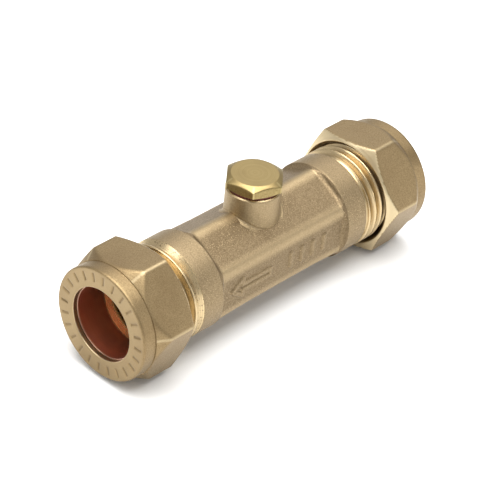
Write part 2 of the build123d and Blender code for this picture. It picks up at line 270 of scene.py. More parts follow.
def add_node(tree, kind, settings=None, **inputs):
    """Adds a node, sets its properties, and fills or links its inputs by name."""
    node = tree.nodes.new("ShaderNode" + kind)
    for key, value in (settings or {}).items():
        setattr(node, key, value)
    for key, value in inputs.items():
        socket = node.inputs[int(key[1:]) if key[0] == "_" else key.replace("__", " ")]
        if isinstance(value, bpy.types.NodeSocket):
            tree.links.new(value, socket)
        else:
            socket.default_value = value
    return node


def blended(tree, share, low, high):
    """Colour between two colours, each a hex value or a socket, by a share from 0 to 1."""
    mixer = add_node(tree, "Mix", {"data_type": "RGBA"}, Factor=share)
    for socket, colour in ((mixer.inputs[6], low), (mixer.inputs[7], high)):
        if isinstance(colour, str):
            socket.default_value = linear(colour)
        else:
            tree.links.new(colour, socket)
    return mixer.outputs[2]


def ranged(tree, value, from_low, from_high, to_low, to_high):
    """Value carried linearly from one range to another, and clamped to it."""
    return add_node(tree, "MapRange", None, Value=value, From__Min=from_low, From__Max=from_high,
                    To__Min=to_low, To__Max=to_high).outputs[0]


def sums(tree, operation, one, other):
    """Result of an arithmetic operation on two values."""
    return add_node(tree, "Math", {"operation": operation}, _0=one, _1=other).outputs[0]


def worked_metal(name, dull, bright, turned, stain_and_shade, grain_mm, grain_depth_mm, blast_roughness,
                 turned_roughness, rubbed_and_highlight=None, line_mm=0.16, line_depth_mm=0.006, axis="X"):
    """Metal with a blasted skin and turned faces, chosen by the piece's machined attribute.

    The skin is a noise of dimples of the grain's size, with patches of painted glints,
    bright flecks of the turned colour where the dimples' rims would catch the light, under
    large soft stains. Turned faces have fine rings: a noise of axial place and radius only.
    A shading attribute paints light and shade. Above zero it paints shade into hollows,
    creases and thread roots, and darkens cast pits, towards the stain colour and then a
    near-black. Below zero it paints highlights on edges, rims and ridges, and lightens some
    faces, towards the rubbed-and-highlight colour.
    """
    # Near-black of the painted shade in hollows.
    painted_hollow_shade = "#2b1c0c"
    stain_mm = 7
    material = bpy.data.materials.new(name)
    material.use_nodes = True
    tree = material.node_tree
    shader = tree.nodes["Principled BSDF"]
    place = add_node(tree, "TexCoord").outputs["Object"]
    recess = add_node(tree, "Attribute", {"attribute_name": "recess"}).outputs["Fac"]
    machined = add_node(tree, "Attribute", {"attribute_name": "machined"}).outputs["Fac"]

    # Blasted skin: dimples, a coarser orange-peel, and stains several millimetres across.
    dimple = add_node(tree, "TexNoise", None, Vector=place, Scale=1 / (grain_mm * MM),
                      Detail=3.0, Roughness=0.6).outputs["Fac"]
    peel = add_node(tree, "TexNoise", None, Vector=place, Scale=1 / (4 * grain_mm * MM),
                    Detail=2.0).outputs["Fac"]
    patch = add_node(tree, "TexNoise", None, Vector=place, Scale=1 / (stain_mm * MM),
                     Detail=3.0).outputs["Fac"]
    # Painted glints: flecks of the turned colour, in patches, where the dimples' rims would catch the
    # light.
    fleck = add_node(tree, "TexVoronoi", {"feature": "F1"}, Vector=place,
                     Scale=1 / (1.2 * grain_mm * MM)).outputs["Distance"]
    painted_glint = ranged(tree, fleck, 0.10, 0.32, 1.0, 0.0)
    skin_tone = blended(tree, ranged(tree, dimple, 0.32, 0.68, 0.0, 1.0), dull, bright)
    skin_tone = blended(tree, ranged(tree, patch, 0.48, 0.72, 0.0, 0.45), skin_tone, stain_and_shade)
    glint_patches = ranged(tree, patch, 0.46, 0.58, 0.08, 0.66)
    skin_tone = blended(tree, sums(tree, "MULTIPLY", painted_glint, glint_patches), skin_tone, turned)

    # Turned faces: rings of the tool, one tool feed apart.
    split = add_node(tree, "SeparateXYZ", None, Vector=place)
    if axis == "X":
        along, one, other = split.outputs["X"], split.outputs["Y"], split.outputs["Z"]
    else:
        shifted = sums(tree, "SUBTRACT", split.outputs["X"], port_x * MM)
        along, one, other = split.outputs["Z"], shifted, split.outputs["Y"]
    radius = sums(tree, "SQRT", sums(tree, "ADD", sums(tree, "POWER", one, 2.0),
                                     sums(tree, "POWER", other, 2.0)), 0.0)
    ring_place = add_node(tree, "CombineXYZ", None, X=along, Y=radius)
    rings = add_node(tree, "TexNoise", None, Vector=ring_place.outputs[0], Scale=1 / (line_mm * MM),
                     Detail=2.0).outputs["Fac"]
    turned_tone = blended(tree, ranged(tree, rings, 0.35, 0.65, 0.0, 0.35), turned, dull)
    turned_tone = blended(tree, ranged(tree, patch, 0.50, 0.75, 0.0, 0.35), turned_tone, stain_and_shade)

    tone = blended(tree, machined, skin_tone, turned_tone)
    # Painted shade: above zero the attribute darkens towards the stain colour, then towards a near-black.
    # Below zero it paints highlights towards the rubbed-and-highlight colour.
    tone = blended(tree, ranged(tree, recess, 0.0, 1.0, 0.0, 0.85), tone, stain_and_shade)
    hollow_shade_share = ranged(tree, recess, 0.25, 1.0, 0.0, 0.55)
    tone = blended(tree, hollow_shade_share, tone, painted_hollow_shade)
    tone = blended(tree, ranged(tree, recess, -1.0, 0.0, 0.8, 0.0), tone, rubbed_and_highlight or turned)
    tree.links.new(tone, shader.inputs["Base Color"])
    shader.inputs["Metallic"].default_value = 1.0

    skin_roughness = ranged(tree, dimple, 0.3, 0.7, blast_roughness + 0.10, blast_roughness - 0.08)
    ring_roughness = ranged(tree, rings, 0.3, 0.7, turned_roughness - 0.05, turned_roughness + 0.08)
    mixed = add_node(tree, "Mix", {"data_type": "FLOAT"}, Factor=machined)
    tree.links.new(skin_roughness, mixed.inputs[2])
    tree.links.new(ring_roughness, mixed.inputs[3])
    worn = sums(tree, "ADD", mixed.outputs[0], sums(tree, "MULTIPLY", recess, 0.05))
    tree.links.new(worn, shader.inputs["Roughness"])

    skin_height = sums(tree, "MULTIPLY",
                       sums(tree, "ADD", dimple, sums(tree, "MULTIPLY", peel, 1.3)), grain_depth_mm)
    ring_height = sums(tree, "MULTIPLY", rings, line_depth_mm)
    height = add_node(tree, "Mix", {"data_type": "FLOAT"}, Factor=machined)
    tree.links.new(skin_height, height.inputs[2])
    tree.links.new(ring_height, height.inputs[3])
    bump = add_node(tree, "Bump", None, Height=height.outputs[0], Strength=1.0, Distance=MM)
    tree.links.new(bump.outputs[0], shader.inputs["Normal"])
    return material


# Hot-stamped dezincification-resistant brass, blasted with steel shot. The shot leaves
# overlapping dimples about 0.3 mm across, so it is grainy and satin, khaki rather than
# gold, with patches of painted glints, bright flecks where the dimples' rims catch the
# light. Where it is turned it is a paler, shinier yellow.
blasted_brass = worked_metal(
    "shot_blasted_brass", dull="#74634a", bright="#8f7d61", turned="#ccb68e", stain_and_shade="#6b5a43",
    grain_mm=0.28, grain_depth_mm=0.042, blast_roughness=0.52, turned_roughness=0.29,
)
barrel.data.materials.append(blasted_brass)
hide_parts("valve_body")
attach(barrel, "body")

# ---- threaded ends --------------------------------------------------------------------
# The body's two ends, one with the barrel: a turned collar, a 45 degree shoulder, the
# G 1/2 thread for the compression nut, and inside it the pipe socket, the shoulder that
# stops the pipe, and the groove of the ring that holds the check cartridge in.
collar_edge = 23.4
body_end = 33.5
pipe_pitch = 1.814
pipe_crest = 20.955 / 2
pipe_root = pipe_crest - 1.162
pipe_flat = pipe_pitch / 6
pipe_flank = 27.5
thread_start = collar_edge + 0.75
end_mouth = 8.75
socket_radius = 7.6
pipe_stop = 21.5                    # the pipe's shoulder, from the middle of the valve
groove_radius = 7.5
groove_outer, groove_inner = 20.1, 19.05


def thread_height(along, angles, start, pitch, flat, flank, depth):
    """Height of a right-handed screw ridge over its root.

    The distance to the nearest crest is that to the nearest whole turn of along minus
    angle. The crest is flat, and the flanks fall to the root at the flank angle.
    """
    turn = (along - start) / pitch - angles / (2 * math.pi)
    from_crest = abs((turn + 0.5) % 1 - 0.5) * pitch
    fall = np.clip(from_crest - flat / 2, 0, None) / math.tan(math.radians(flank))
    height = np.clip(depth - fall, 0, None)
    return height


def fading(along, start, stop, run_out):
    """One between start and stop, falling to zero over the run-out at each end."""
    return np.clip(np.minimum(along - start, stop - along) / run_out, 0, 1)


def grime(places, seed, scale):
    """Soft random patches on the surface: a sum of plane waves with seeded directions."""
    random = np.random.default_rng(seed)
    waves = 14
    total = np.zeros(places.shape[:2])
    for _ in range(waves):
        wave = random.normal(size=3) * scale
        total = total + np.sin(places @ wave + random.uniform(0, 2 * math.pi))
    return total / math.sqrt(waves / 2)


end_angles = np.linspace(0, 2 * math.pi, 300, endpoint=False)
end_corners = [
    (collar_inner, 8.4, 0.02), (collar_inner, collar_radius, 0.14),
    (collar_edge, collar_radius, 0.10, 0.12),
    (collar_edge + collar_radius - pipe_root, pipe_root, 0.08, 0.11),
    (body_end - 0.3, pipe_root, 0.05), (body_end, pipe_root - 0.25, 0.08),
    (body_end, end_mouth, 0.06), (body_end - 2.8, socket_radius, 0.25),
    (pipe_stop, socket_radius, 0.06), (pipe_stop, cartridge_bore, 0.10),
    (groove_outer, cartridge_bore, 0.05), (groove_outer, groove_radius, 0.03),
    (groove_inner, groove_radius, 0.03), (groove_inner, cartridge_bore, 0.05),
    (collar_inner, cartridge_bore, 0.02),
]
end_profile = rounded_profile(end_corners)
along, out = end_profile[:, :1], end_profile[:, 1:]
on_thread = np.isclose(out, pipe_root, atol=0.01) & (along > collar_edge)
ridge = thread_height(along, end_angles, thread_start, pipe_pitch, pipe_flat, pipe_flank,
                      pipe_crest - pipe_root)
ridge = ridge * fading(along, thread_start - 0.1, body_end - 0.3, 0.75) * on_thread
end_reach = out + ridge
# Painted shade in the thread's roots, and a painted highlight along its crests.
root_shade_crest_highlight = np.where(on_thread, 0.50 - 1.0 * ridge / (pipe_crest - pipe_root), 0.0)
on_collar = (out > pipe_root) & (along < collar_edge + 0.02)
on_shoulder = (out > pipe_root + 0.05) & (along > collar_edge + 0.02)
in_socket = (out < end_mouth + 0.15) & (along > pipe_stop - 0.5)
# The socket is painted lighter against the shade deep inside it; the shoulder and collar are a paler
# tone.
worked_shade = root_shade_crest_highlight - 0.25 * on_shoulder - 0.2 * on_collar - 0.3 * in_socket

for side, direction in (("outlet", 1), ("inlet", -1)):
    points = about_pipe(end_profile, end_angles, direction, end_reach)
    pits = np.clip(grime(points, 3 + direction, 9.0) - 0.9, 0, 1) * on_shoulder
    end = skin(f"{side}_threaded_end", points, recess=worked_shade + 1.2 * pits,
               machined=1.0 - on_collar)
    end.data.materials.append(blasted_brass)
    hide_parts("valve_body")
    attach(end, "body")

# ---- test boss -----------------------------------------------------------------------
# Round boss stamped in one with the barrel, its top faced off and tapped M8 x 1, with a
# 4 mm hole drilled on into the chamber between the two checks. A small root radius, and
# the flash line of the stamping die, run round its foot.
boss_radius = 5.6
boss_top = 14.2
plug_pitch = 1.0
plug_crest = 4.0
plug_root = plug_crest - 0.613
plug_flat = plug_pitch / 8
plug_flank = 30
thread_gap = 0.12
flank_gap = 0.08
port_floor = 9.0
drilled_radius = 2.0
drilled_floor = 7.0
port_thread_start = 9.7
foot_radius = 0.75
flash_height = 0.09


def about_port(along, reach, angles):
    """Points at the given heights and radii, carried round the test port's upright axis."""
    across, deep = reach * np.cos(angles), reach * np.sin(angles)
    return np.stack([port_x + across, deep, along + 0 * angles], axis=-1)


def inner_ridge_flat(pitch, crest, flat, flank, tip):
    """Width of an inner thread's tip that leaves the flank gap on both of its sides."""
    return pitch - flat - 2 * (crest - tip) * math.tan(math.radians(flank)) - 2 * flank_gap


boss_angles = np.linspace(0, 2 * math.pi, 240, endpoint=False)
sideways_at_foot = (boss_radius + foot_radius * 0.5) * np.sin(boss_angles)
flat_height = (barrel_apothem - abs(sideways_at_foot) * math.sin(math.radians(60))) * 2

# The barrel's top corner is rounded, so there the foot stands on a low parabola instead.
corner_rounding = 0.95
parabola_width = 12
crown_top = barrel_apothem / math.cos(math.radians(30)) - corner_rounding
foot_height = np.minimum(flat_height, crown_top - sideways_at_foot ** 2 / parabola_width)

climb = np.concatenate([np.linspace(0, 1, 9) ** 1.5 * foot_radius, [foot_radius + 0.01]])
flare = foot_radius - np.sqrt(np.clip(foot_radius ** 2 - (foot_radius - climb) ** 2, 0, None))
foot_rows = foot_height + climb[:, None]
wall_share = np.linspace(0, 1, 18)[1:, None]
wall_rows = foot_rows[-1] + (boss_top - 0.2 - foot_rows[-1]) * wall_share
port_wall = plug_crest + thread_gap
inner_corners = rounded_profile([
    (drilled_floor, boss_radius - 0.3, 0.02), (boss_top - 0.2, boss_radius, 0.02),
    (boss_top, boss_radius - 0.2, 0.08), (boss_top, port_wall + 0.4, 0.05),
    (boss_top - 0.4, port_wall, 0.05, 0.1), (port_floor, port_wall, 0.05),
    (port_floor, drilled_radius, 0.1), (drilled_floor, drilled_radius, 0.02),
])
inner_rows = inner_corners[np.argmax(inner_corners[:, 0] > boss_top - 0.205):]
boss_along = np.vstack([foot_height - 0.3 + 0 * boss_angles, foot_rows, wall_rows,
                        inner_rows[:, :1] + 0 * boss_angles])
boss_reach = np.vstack([
    boss_radius + foot_radius + 0.05 + 0 * boss_angles,
    boss_radius + flare[:, None] + 0 * boss_angles,
    boss_radius + 0 * wall_rows,
    inner_rows[:, 1:] + 0 * boss_angles,
])
port_tip = plug_root + thread_gap
in_thread = np.isclose(boss_reach, port_wall, atol=0.01) & (boss_along > port_thread_start - 0.6)
port_ridge = thread_height(
    boss_along, boss_angles, port_thread_start, plug_pitch,
    inner_ridge_flat(plug_pitch, plug_crest, plug_flat, plug_flank, port_tip), plug_flank,
    port_wall - port_tip,
) * fading(boss_along, port_thread_start, boss_top - 0.6, 0.4) * in_thread
on_wall = boss_reach > boss_radius - 0.1
flash_line = np.exp(-((boss_along - foot_height - foot_radius - 0.1) / 0.14) ** 2) * on_wall
port_shade = np.clip(0.6 - 2 * port_ridge, 0, 1) * (boss_reach < port_wall + 0.18)
boss = skin(
    "test_boss",
    about_port(boss_along, boss_reach - port_ridge + flash_height * flash_line, boss_angles),
    recess=port_shade - 0.35 * flash_line - 0.36 * on_wall,
    machined=1.0 * ((boss_reach < boss_radius - 0.05) & (boss_along > port_floor - 0.1)),
)
boss.data.materials.append(blasted_brass)
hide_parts("valve_body")
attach(boss, "body")

# ---- compression nuts -------------------------------------------------------------------
# Two brass compression nuts, 24 mm across their flats: stamped, blasted, then turned at
# the front collar, the corner chamfers, the mouth and the tapped bore. A ring of plain
# ticks is stamped in each face. Turning the nut presses the olive on to the pipe.
nut_face = 40.75
nut_length = 12.45
nut_mouth = nut_face - nut_length
nut_apothem = 12.0
nut_collar = 11.85
nut_collar_length = 2.95
nut_bore = 7.65
mouth_chamfer = 1.4
nut_thread_radius = pipe_crest + thread_gap
nut_tip = pipe_root + thread_gap
nut_relief = body_end + 1.2
olive_centre = 36.1
olive_crown = 8.55
olive_pocket = 8.06
corner_reach = nut_apothem + 1.9
hexagon_sharpness, chamfer_sharpness = 75, 90
tick_count = 24
tick_radius = 10.0
tick_half_length = 0.95
tick_depth = 0.18
tick_softness = 0.15

nut_corners = [
    (nut_mouth, nut_thread_radius + 0.75, 0.06), (nut_mouth, nut_apothem - 0.5, 0.06),
    (nut_mouth + mouth_chamfer, corner_reach, 0.10),
    (nut_face - nut_collar_length - 2.65, corner_reach, 0.20),
    (nut_face - nut_collar_length, nut_apothem + 0.02, 0.03),
    (nut_face - nut_collar_length, nut_collar, 0.03),
    (nut_face, nut_collar, 0.50, 0.15), (nut_face, nut_bore, 0.28),
    (olive_centre + 3.6, nut_bore, 0.10), (olive_centre + 3.6, olive_pocket, 0.10),
    (olive_centre + 1.6, olive_crown + 0.2, 0.10), (nut_relief + 0.4, olive_crown + 0.9, 0.05),
    (nut_relief + 0.4, nut_thread_radius, 0.10, 0.13),
    (nut_mouth + 0.75, nut_thread_radius, 0.05),
]
nut_profile = rounded_profile(nut_corners)
nut_along, nut_out = nut_profile[:, :1], nut_profile[:, 1:]
nut_thread_start = thread_start + 3.5 * pipe_pitch

# The same kind of hot-stamped brass, blasted with finer shot than the body. It gives
# smoother flats of an even khaki sheen, with satin turned faces. Its edges, mouth chamfers
# and the lip of its bore carry painted highlights of a pale, bright colour.
nut_brass = worked_metal(
    "blasted_nut_brass", dull="#826e50", bright="#998562", turned="#9b8765", stain_and_shade="#7b6648",
    rubbed_and_highlight="#e0cea8", grain_mm=0.22, grain_depth_mm=0.020, blast_roughness=0.45,
    turned_roughness=0.34,
)

for side, direction, corner_turn in (("outlet", 1, -22.5), ("inlet", -1, 24.0)):
    corner_angle = math.radians(corner_turn)
    even = np.linspace(0, 2 * math.pi, 384, endpoint=False)
    nut_angles = even - 0.75 * np.sin(6 * (even - corner_angle)) / 6
    hexagon = hexagon_reach(nut_angles, nut_apothem, hexagon_sharpness, corner_angle)
    reach = softer_of(nut_out + 0 * hexagon, hexagon + 0 * nut_out, chamfer_sharpness)
    in_bore = np.isclose(nut_out, nut_thread_radius, atol=0.01) & (nut_along < nut_relief)
    nut_ridge = thread_height(
        nut_along, nut_angles, nut_thread_start, pipe_pitch,
        inner_ridge_flat(pipe_pitch, pipe_crest, pipe_flat, pipe_flank, nut_tip), pipe_flank,
        nut_thread_radius - nut_tip,
    ) * fading(nut_along, nut_mouth + 0.9, nut_relief - 0.4, 0.8) * in_bore

    # How near the nearest tick is round the face, then whether the point is within its length.
    nearest_tick = abs((nut_angles * tick_count / (2 * math.pi) + 0.5) % 1 - 0.5)
    tick = np.clip(2.0 - nearest_tick * 2 * math.pi / tick_count * nut_out / tick_softness, 0, 1)
    past_end = (tick_half_length - abs(nut_out - tick_radius)) / tick_softness + 0.5
    tick = tick * np.clip(past_end, 0, 1) * (nut_along > nut_face - 0.01)
    points = about_pipe(nut_profile, nut_angles, direction, reach - nut_ridge)
    points[..., 0] = points[..., 0] - direction * tick_depth * tick
    # Painted highlights on the hexagon's edges, the mouth chamfers and the bore's lip at the face;
    # painted shade in the tapped bore, and darker ticks in the face.
    edge_highlight = np.clip((hexagon - nut_apothem - 1.6) / 0.2, 0, 1) * (reach > nut_apothem)
    turned_part = (nut_out < nut_apothem + 0.5) & (
        (nut_along < nut_mouth + 0.4) | (nut_along > nut_face - 0.02) | (nut_out < 11))
    chamfer_highlight = (nut_out < hexagon + 0.05) & (nut_out > nut_thread_radius + 0.6)
    chamfer_highlight = chamfer_highlight & (nut_along < nut_mouth + mouth_chamfer + 0.02)
    bore_shade = (nut_out < 11) * (nut_along < nut_face - 2)
    shade = 0.55 * tick + 0.5 * bore_shade
    bore_lip_highlight = (nut_out < nut_bore + 0.1) & (nut_along > nut_face - 1.2)
    shade = shade - np.maximum(0.55 * edge_highlight, 0.85 * chamfer_highlight) - 0.5 * bore_lip_highlight
    nut = skin(f"{side}_compression_nut", points, recess=shade, machined=0.75 * turned_part)
    nut.data.materials.append(nut_brass)
    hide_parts(f"{side}_nut")
    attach(nut, f"{side}_nut")

# ---- olives -----------------------------------------------------------------------------
# Barrel-shaped copper rings that the nuts squeeze on to the pipe, turned from tube and
# annealed soft. Each lies within its nut, just short of the face.
olive_half = 3.5
olive_bore = 7.56
rim_width = 0.32
round_angles = np.linspace(0, 2 * math.pi, 180, endpoint=False)

# Annealed copper: salmon pink and satin, with faint turning rings and painted highlights on its rims.
# Deep in the nut it mirrors only itself, so there it looks a dark red-brown.
annealed_copper = worked_metal(
    "annealed_copper", dull="#dc9073", bright="#e6a083", turned="#e69a7c", stain_and_shade="#d08668",
    rubbed_and_highlight="#f6d3bc",
    grain_mm=0.5, grain_depth_mm=0.004, blast_roughness=0.38, turned_roughness=0.36,
    line_mm=0.5, line_depth_mm=0.003,
)
olive_near, olive_far = olive_centre - olive_half, olive_centre + olive_half
olive_profile = rounded_profile([
    (olive_near, olive_bore, 0.05), (olive_near, olive_bore + 0.3, 0.08),
    (olive_centre - 1.3, olive_crown, 0.6), (olive_centre + 1.3, olive_crown, 0.6),
    (olive_far, olive_bore + 0.3, 0.08), (olive_far, olive_bore, 0.05),
])
for side, direction in (("outlet", 1), ("inlet", -1)):
    # Painted highlight: the olive's end rims are painted pale and bright.
    rim_highlight = abs(abs(olive_profile[:, :1] - olive_centre) - olive_half) < rim_width
    olive = skin(
        f"{side}_copper_olive", about_pipe(olive_profile, round_angles, direction),
        recess=-1.0 * rim_highlight + 0 * round_angles, machined=0.0 * rim_highlight + 1.0,
    )
    olive.data.materials.append(annealed_copper)
    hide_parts(f"{side}_olive")
    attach(olive, f"{side}_olive")

# ---- test plug and its washer --------------------------------------------------------------
# A hexagon-headed plug turned from brass bar, with its top edge chamfered, screwed down on
# a thin red fibre washer.
head_bottom = 14.75
head_top = 17.2
head_apothem = 5.5
plug_tip = 9.9
plug_thread_start = port_thread_start + 1.5 * plug_pitch

# Drawn free-cutting brass bar, not blasted: smoother and yellower than the body, satin on
# its turned top and chamfer, with the bar's own drawn flats.
bright_bar_brass = worked_metal(
    "bright_turned_brass", dull="#83724a", bright="#a08f62", turned="#9a875c", stain_and_shade="#786542",
    rubbed_and_highlight="#e2d09a", grain_mm=0.35, grain_depth_mm=0.010, blast_roughness=0.34, turned_roughness=0.38,
    line_mm=0.12, line_depth_mm=0.004, axis="Z",
)
head_turn = math.radians(41)
even = np.linspace(0, 2 * math.pi, 288, endpoint=False)
plug_angles = even - 0.7 * np.sin(6 * (even - head_turn)) / 6
plug_profile = rounded_profile([
    (plug_tip, 0.0, 0.01), (plug_tip, plug_root - 0.4, 0.05), (plug_tip + 0.4, plug_root, 0.05, 0.09),
    (head_bottom, plug_root, 0.05), (head_bottom, head_apothem - 0.1, 0.05),
    (head_bottom + 0.35, head_apothem + 0.9, 0.05), (head_top - 0.9, head_apothem + 0.9, 0.1),
    (head_top, head_apothem - 0.75, 0.12), (head_top, 0.0, 0.01),
])
at_top_centre = (plug_profile[:, 0] > head_top - 0.005) & (plug_profile[:, 1] < 0.02)
plug_profile = plug_profile[: np.argmax(at_top_centre) + 1]
plug_profile[0, 1] = plug_profile[-1, 1] = 0.0
plug_along, plug_out = plug_profile[:, :1], plug_profile[:, 1:]
head_sharpness = 110
plug_hexagon = hexagon_reach(plug_angles, head_apothem, head_sharpness, head_turn)
clipped_head = softer_of(np.maximum(plug_out, 0.1) + 0 * plug_hexagon,
                         plug_hexagon + 0 * plug_out, chamfer_sharpness)
plug_reach = np.where(plug_out > plug_crest - 0.1, clipped_head, plug_out)
on_shank = np.isclose(plug_out, plug_root, atol=0.01) & (plug_along > plug_tip + 0.3)
plug_ridge = thread_height(plug_along, plug_angles, plug_thread_start, plug_pitch, plug_flat,
                           plug_flank, plug_crest - plug_root)
plug_ridge = plug_ridge * fading(plug_along, plug_tip + 0.35, head_bottom - 0.6, 0.4) * on_shank
turned_ring = (plug_along > head_top - 0.9) & (plug_out < head_apothem + 0.1)
shank_shade = 0.7 * on_shank * (1 - 1.6 * plug_ridge)
head_edge = np.clip((plug_hexagon - 1.12 * head_apothem) / 0.1, 0, 1) * (plug_out > 5)
plug = skin(
    "hexagon_test_plug", about_port(plug_along, plug_reach + plug_ridge, plug_angles),
    closed_along=False, recess=shank_shade - 0.3 * head_edge,
    machined=1.0 * (turned_ring | (plug_out < plug_crest + 0.2)),
)
plug.data.materials.append(bright_bar_brass)
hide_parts("test_plug")
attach(plug, "test_plug")


def moulded(name, base, shade, roughness, grain_mm, grain_depth_mm, ior, stretch=(1, 1, 1)):
    """Plastic, rubber or fibre: two close tones in a noise of the grain's size, and its bump.

    Roughness varies a little with the same noise, so the gloss isn't even.
    """
    material = bpy.data.materials.new(name)
    material.use_nodes = True
    tree = material.node_tree
    shader = tree.nodes["Principled BSDF"]
    place = add_node(tree, "TexCoord").outputs["Object"]
    drawn = add_node(tree, "Mapping", None, Vector=place, Scale=stretch).outputs[0]
    grain = add_node(tree, "TexNoise", None, Vector=drawn, Scale=1 / (grain_mm * MM),
                     Detail=4.0).outputs["Fac"]
    tree.links.new(blended(tree, ranged(tree, grain, 0.35, 0.65, 0.0, 1.0), base, shade),
                   shader.inputs["Base Color"])
    tree.links.new(ranged(tree, grain, 0.3, 0.7, roughness - 0.05, roughness + 0.07),
                   shader.inputs["Roughness"])
    shader.inputs["IOR"].default_value = ior
    bump = add_node(tree, "Bump", None, Height=sums(tree, "MULTIPLY", grain, grain_depth_mm),
                    Strength=1.0, Distance=MM)
    tree.links.new(bump.outputs[0], shader.inputs["Normal"])
    return material


# Vulcanised fibre: layers of cotton paper pressed hard. Dull brick red, with short fibres.
washer_fibre = moulded("vulcanised_fibre", "#6e2f22", "#50201a", 0.70, 0.25, 0.02, 1.5, (1, 1, 4))
washer_top = head_bottom - 0.03
washer_inner, washer_outer = plug_root + 0.15, head_apothem - 0.3
washer_profile = rounded_profile([
    (boss_top, washer_inner, 0.04), (boss_top, washer_outer, 0.08),
    (washer_top, washer_outer, 0.08), (washer_top, washer_inner, 0.04),
])
washer_reach = washer_profile[:, 1:] + 0 * round_angles
washer = skin("fibre_washer", about_port(washer_profile[:, :1], washer_reach, round_angles))
washer.data.materials.append(washer_fibre)
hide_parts("test_plug_seal")
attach(washer, "test_plug_seal")

# ---- check cartridges ---------------------------------------------------------------------
# Two spring-loaded checks pushed into the bore from either end. Each is an acetal housing
# with an O-ring, a mushroom poppet with a moulded rubber seal, a stainless steel spring,
# and a three-spoked guide that its stem slides in. Only their ends can be seen.
cartridge_length = 15.0
cartridge_radius = 7.0
cartridge_shoulder = 4.0
seat = 5.2
chamber = 6.2
seal_start = 3.35
stem = 1.2
hub = 2.05
spring_start, spring_end = 5.35, 12.0
spring_radius, wire_radius = 2.6, 0.22
groove_near, groove_far, groove_floor = 1.0, 2.5, 6.2
o_ring_centre, o_ring_radius = 1.75, 6.625
stem_end = 12.4
wire_sides = 14

# Injection-moulded white acetal: slightly waxy and milky, with a fine spark-eroded grain.
acetal = moulded("white_acetal", "#d9d6cb", "#c8c4b6", 0.38, 0.4, 0.004, 1.48)
# Grey-blue acetal copolymer of the poppet, moulded in a smoother cavity, so a bit glossier.
poppet_acetal = moulded("poppet_acetal", "#7f8f9b", "#6f7f8c", 0.30, 0.6, 0.003, 1.48)
# Peroxide-cured EPDM: black and matt, with a faint bloom where it has been wiped.
seal_rubber = moulded("epdm_rubber", "#17171a", "#232326", 0.62, 0.3, 0.010, 1.52)


def about_cartridge(start, profile):
    """Points of a profile measured from a cartridge's upstream face, carried round the axis."""
    reach = profile[:, 1:] + 0 * round_angles
    along = start + profile[:, :1] + 0 * round_angles
    return np.stack([along, -reach * np.sin(round_angles), reach * np.cos(round_angles)], axis=-1)


def finish_piece(piece, material, node, body):
    """Gives a piece its material, hides the CAD part that it stands for, and attaches it to the body it
    rides on.
    """
    piece.data.materials.append(material)
    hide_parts(node)
    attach(piece, body)


housing_profile = rounded_profile([
    (0.4, cartridge_radius, 0.1), (groove_near, cartridge_radius, 0.05),
    (groove_near, groove_floor, 0.08), (groove_far, groove_floor, 0.08),
    (groove_far, cartridge_radius, 0.05),
    (cartridge_length, cartridge_radius, 0.15), (cartridge_length, chamber, 0.20),
    (3.6, chamber, 0.2), (2.6, seat, 0.1), (0.0, seat, 0.25), (0.0, 6.6, 0.15),
])
ring_turn = np.linspace(0, 2 * math.pi, 24, endpoint=False)
o_ring_profile = np.column_stack([
    o_ring_centre + 0.6 * np.cos(ring_turn), o_ring_radius + 0.405 * np.sin(ring_turn)])
poppet_profile = rounded_profile([
    (2.0, 0.0, 0.01), (2.2, 1.4, 0.5), (seal_start, seat - 0.5, 0.2), (seal_start, seat - 0.9, 0.05),
    (seal_start + 0.95, seat - 0.9, 0.05), (seal_start + 0.95, seat, 0.08),
    (seal_start + 1.5, seat, 0.2), (seal_start + 2.0, seat - 0.6, 0.15), (seal_start + 2.0, hub, 0.1),
    (spring_start + 0.5, hub, 0.1), (spring_start + 0.8, stem, 0.1), (12.1, stem, 0.1),
    (stem_end, stem - 0.3, 0.1), (stem_end, 0.0, 0.01),
])
at_stem_centre = (poppet_profile[:, 0] > stem_end - 0.01) & (poppet_profile[:, 1] < 0.02)
poppet_profile = poppet_profile[: np.argmax(at_stem_centre) + 1]
poppet_profile[0, 1] = poppet_profile[-1, 1] = 0.0
face_seal_profile = rounded_profile([
    (seal_start + 0.02, seat - 0.88, 0.04), (seal_start + 0.02, seat + 0.35, 0.1),
    (seal_start + 0.3, seat + 0.5, 0.12), (seal_start + 0.7, seat + 0.5, 0.12),
    (seal_start + 0.93, seat + 0.3, 0.1), (seal_start + 0.93, seat - 0.88, 0.04),
])

# Stainless spring wire, cold drawn: bright grey and satin, with faint fine grain.
drawn_steel = worked_metal(
    "drawn_spring_steel", dull="#8b8d90", bright="#b4b6b8", turned="#c6c8ca", stain_and_shade="#77746f",
    grain_mm=0.2, grain_depth_mm=0.003, blast_roughness=0.28, turned_roughness=0.26,
)

# The coil's last three quarters of a turn at each end is closed up, as on a real
# compression spring, and the wire's ends are rounded off.
wire_turns = 6.5
wire_steps = 420
end_turns = 0.75
coil_height = 6.2
close_up = 2 * wire_radius / coil_height
travel = np.linspace(0, 1, wire_steps)
lift = np.clip((travel * wire_turns - end_turns) / (wire_turns - 2 * end_turns), 0, 1)
first_closed = np.clip(travel * wire_turns / end_turns, 0, 1)
last_closed = np.clip((travel - 1) * wire_turns / end_turns + 1, 0, 1)
lift = lift * (1 - 2 * close_up) + close_up * (first_closed + last_closed)
wire_angle = travel * wire_turns * 2 * math.pi
wire_length = spring_end - spring_start - 2 * wire_radius - 0.02
taper = np.sqrt(np.clip(np.minimum(travel, 1 - travel) * wire_steps / 4, 0, 1))
around_wire = np.linspace(0, 2 * math.pi, wire_sides, endpoint=False)
coil_reach = spring_radius + wire_radius * taper[:, None] * np.cos(around_wire)
wire_centre = spring_start + wire_radius + 0.01 + wire_length * lift / lift.max()
coil_along = wire_centre[:, None] + wire_radius * taper[:, None] * np.sin(around_wire)

